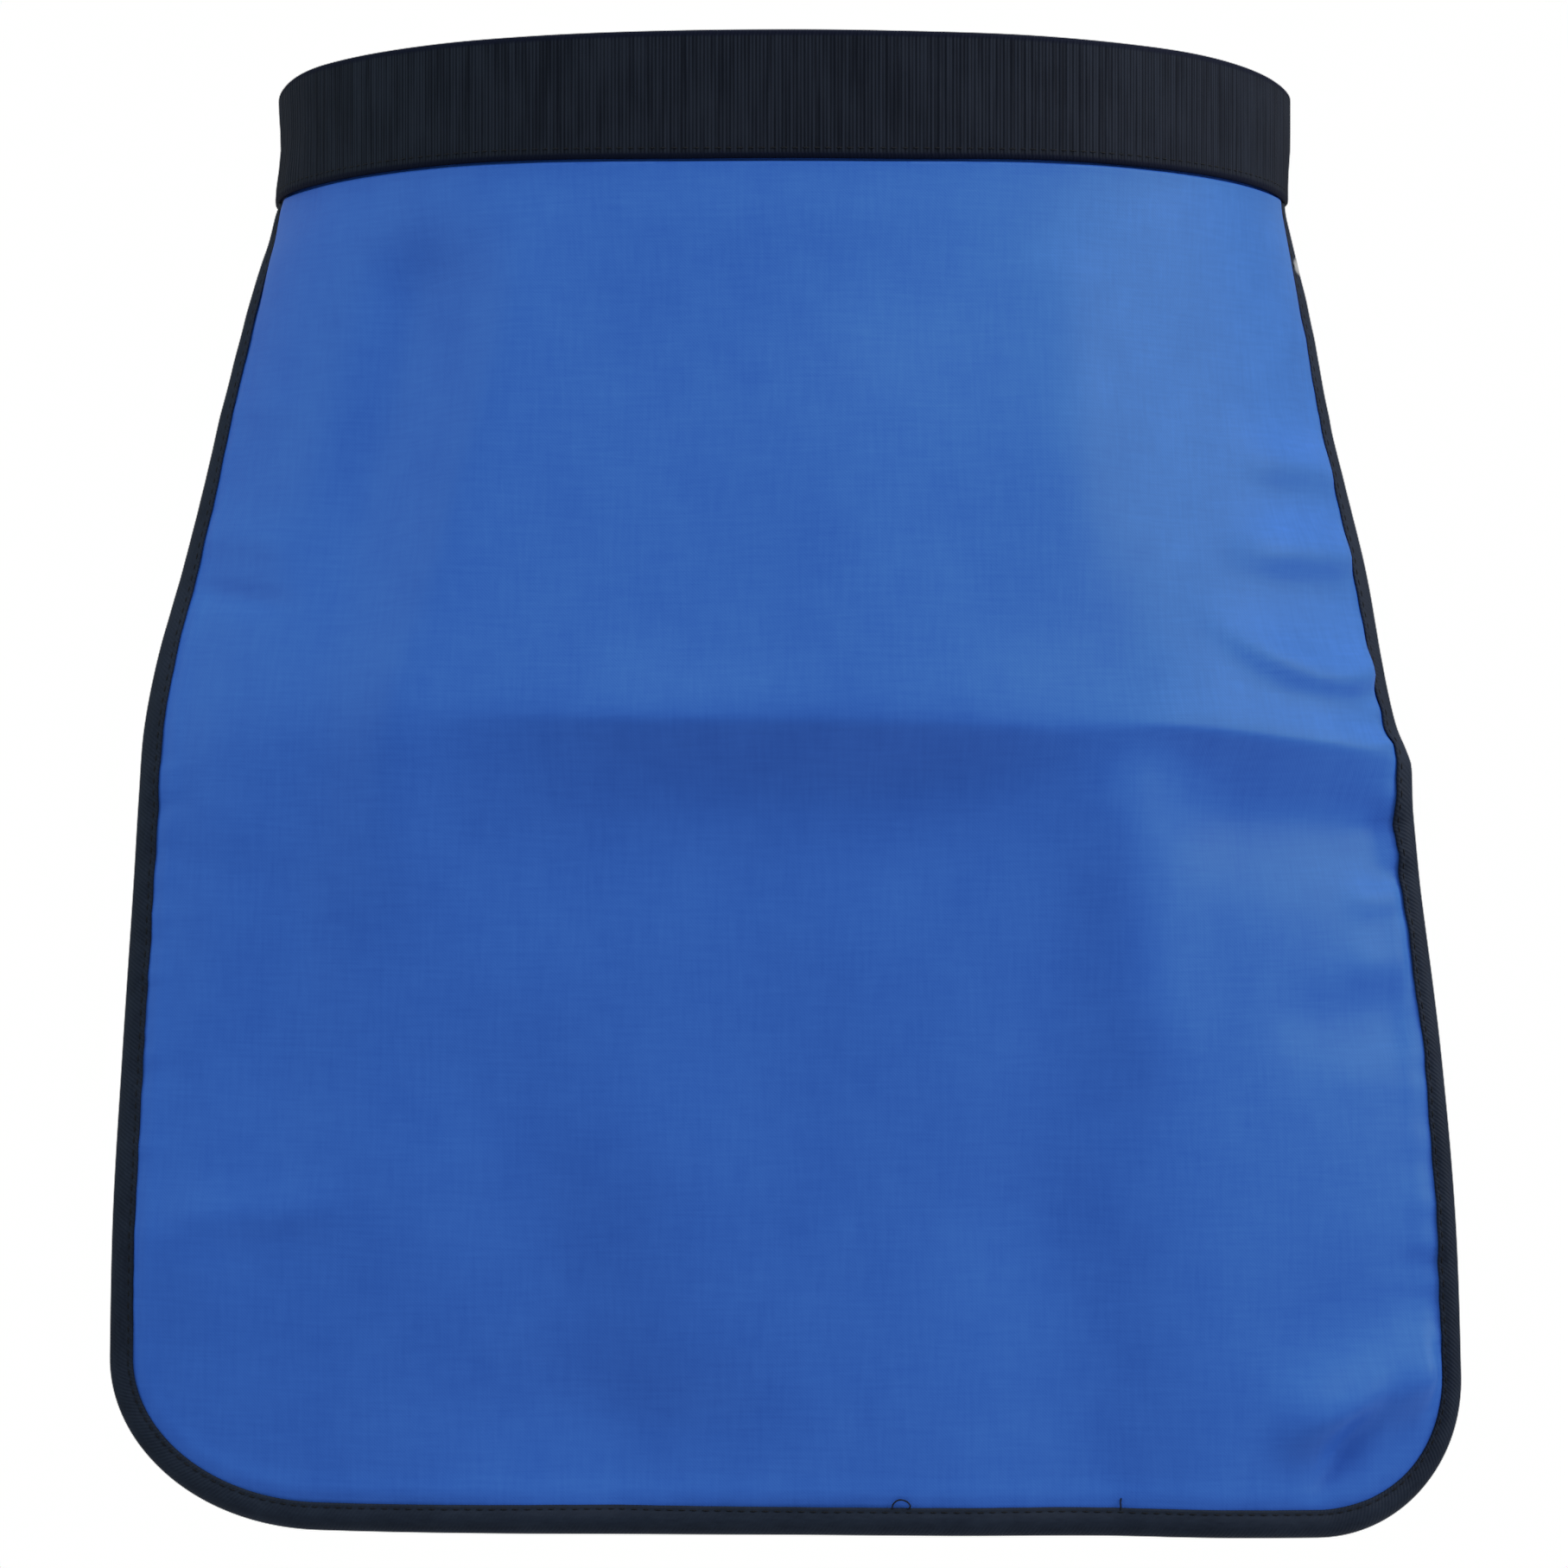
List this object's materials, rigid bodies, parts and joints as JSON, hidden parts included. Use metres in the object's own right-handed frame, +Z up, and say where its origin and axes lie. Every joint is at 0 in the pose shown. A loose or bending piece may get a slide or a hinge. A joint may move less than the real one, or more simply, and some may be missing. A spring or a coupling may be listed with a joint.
{
  "type": "x-ray half apron",
  "caption": "Waist-hung lead-rubber x-ray apron: a coated-nylon panel bound along its sides and rounded hem, draped from a wide ribbed elastic waistband.",
  "frame": {"origin": "middle of the wearer's waist, at half the height of the waistband", "axes": "+Z up; the wearer faces -Y, so the panel hangs at -Y; +X towards the right of the front view"},
  "size_m": [0.4174, 0.2861, 0.4643],
  "materials": {
    "nylon": "blue coated nylon over lead rubber, satin",
    "binding": "black woven binding tape",
    "elastic": "black ribbed elastic",
    "hook_and_loop": "black hook-and-loop tape"
  },
  "bodies": {
    "root": {"apron_panel": "nylon", "edge_binding": "binding", "waistband": "elastic", "closure_patch": "hook_and_loop"}
  },
  "joints": []
}
